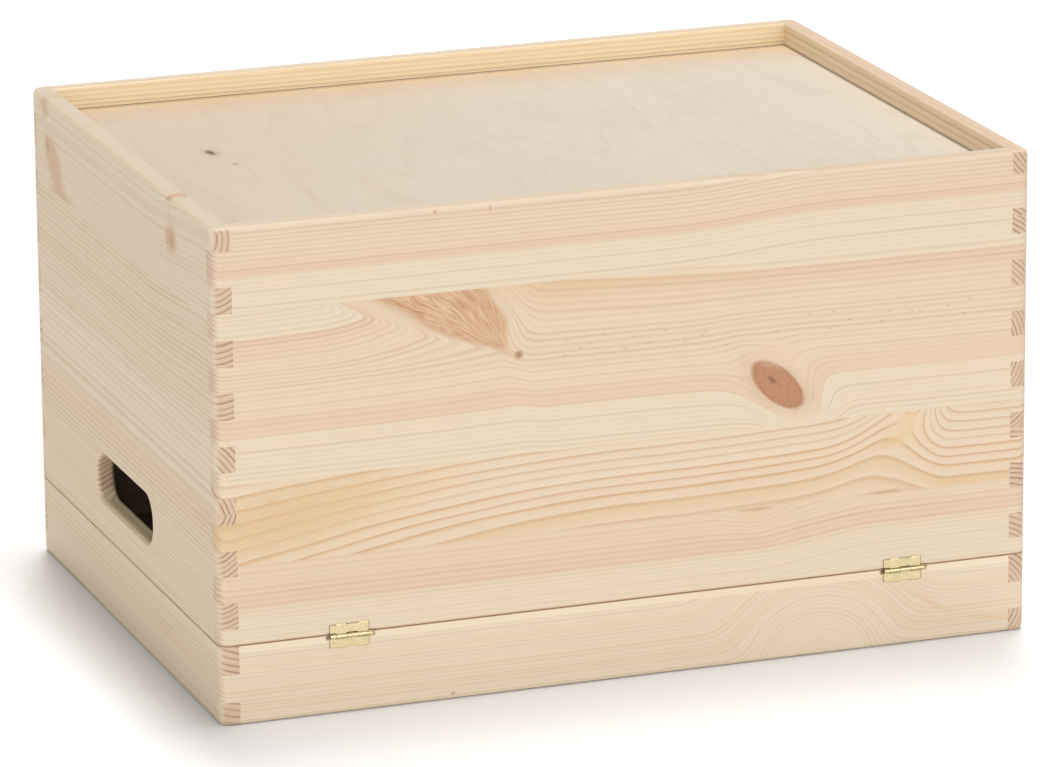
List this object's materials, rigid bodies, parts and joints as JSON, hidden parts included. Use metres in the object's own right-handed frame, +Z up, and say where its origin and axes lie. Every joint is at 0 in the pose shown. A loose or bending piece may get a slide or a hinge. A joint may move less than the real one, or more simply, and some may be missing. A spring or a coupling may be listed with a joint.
{
  "type": "wooden toy box",
  "caption": "Finger-jointed pine toy box with a recessed plywood base, hand holes in both ends and a shallow lid on two small brass hinges, standing on its lid.",
  "frame": {"origin": "under the middle of the box, at the level that the lid's rim stands on", "axes": "+X along the hinge line, -Y towards the hinge side (the rear in use), +Z up as the box is stored, standing on its lid; in use it is turned over, so the lid is on top"},
  "size_m": [0.4, 0.2968, 0.235],
  "materials": {
    "pine": "sanded, untreated",
    "birch_plywood": "sanded, untreated",
    "brass": "bright plated"
  },
  "bodies": {
    "lid": {"lid_rear_board": "pine", "lid_front_board": "pine", "lid_left_board": "pine", "lid_right_board": "pine", "lid_panel": "birch_plywood", "left_hinge_lid_leaf": "brass", "right_hinge_lid_leaf": "brass", "left_hinge_pin": "brass", "right_hinge_pin": "brass"},
    "box": {"rear_stave_1": "pine", "rear_stave_2": "pine", "rear_stave_3": "pine", "rear_stave_4": "pine", "front_stave_1": "pine", "front_stave_2": "pine", "front_stave_3": "pine", "front_stave_4": "pine", "left_stave_1": "pine", "left_stave_2": "pine", "left_stave_3": "pine", "left_stave_4": "pine", "right_stave_1": "pine", "right_stave_2": "pine", "right_stave_3": "pine", "right_stave_4": "pine", "base_panel": "birch_plywood", "left_hinge_box_leaf": "brass", "right_hinge_box_leaf": "brass"}
  },
  "joints": [
    {"name": "lid_hinge", "type": "hinge", "parent": "lid", "child": "box", "pos_m": [0, -0.1479, 0.0375], "axis": [1, 0, 0], "range_deg": [0, 100]}
  ]
}
